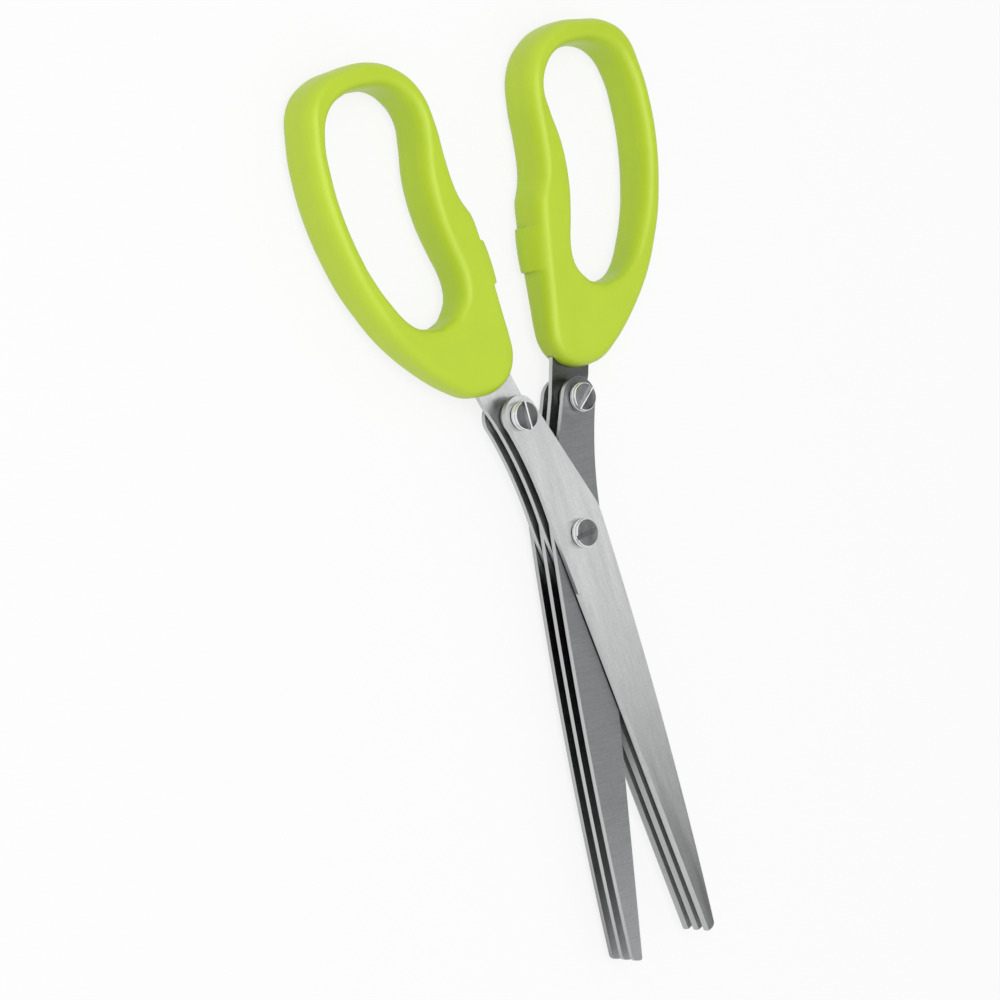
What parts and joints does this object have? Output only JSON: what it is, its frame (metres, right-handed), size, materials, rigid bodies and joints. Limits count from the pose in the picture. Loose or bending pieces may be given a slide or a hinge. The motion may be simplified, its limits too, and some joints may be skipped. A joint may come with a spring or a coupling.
{
  "type": "herb scissors",
  "caption": "Herb scissors with two looped plastic grips and three pairs of parallel steel blades on one pivot, for snipping herbs into strips.",
  "frame": {"origin": "centre of the flat rear face of the pivot's nut, on the pivot axis", "axes": "+Z along the pivot axis to the slotted front; +Y from the pivot to the handles, halfway between them; +X to the right half's handle"},
  "size_m": [0.1014, 0.2148, 0.0135],
  "materials": {
    "handle_plastic": "satin lime green",
    "blade_steel": "brushed",
    "screw_steel": "polished",
    "washer_steel": "plain"
  },
  "bodies": {
    "right_half": {"handle_right": "handle_plastic", "blade_right_rear": "blade_steel", "blade_right_middle": "blade_steel", "blade_right_front": "blade_steel", "tang_nut_right": "screw_steel", "tang_screw_right": "screw_steel", "tang_spacer_right_rear": "washer_steel", "tang_spacer_right_front": "washer_steel", "pivot_nut": "screw_steel", "pivot_screw": "screw_steel", "pivot_washer_rear": "washer_steel", "pivot_washer_front": "washer_steel"},
    "left_half": {"handle_left": "handle_plastic", "blade_left_rear": "blade_steel", "blade_left_middle": "blade_steel", "blade_left_front": "blade_steel", "tang_nut_left": "screw_steel", "tang_screw_left": "screw_steel", "tang_spacer_left_rear": "washer_steel", "tang_spacer_left_front": "washer_steel"}
  },
  "joints": [
    {"name": "pivot", "type": "hinge", "parent": "right_half", "child": "left_half", "pos_m": [0, 0, 0], "axis": [0, 0, 1], "range_deg": [-11.8, 48.2]}
  ]
}
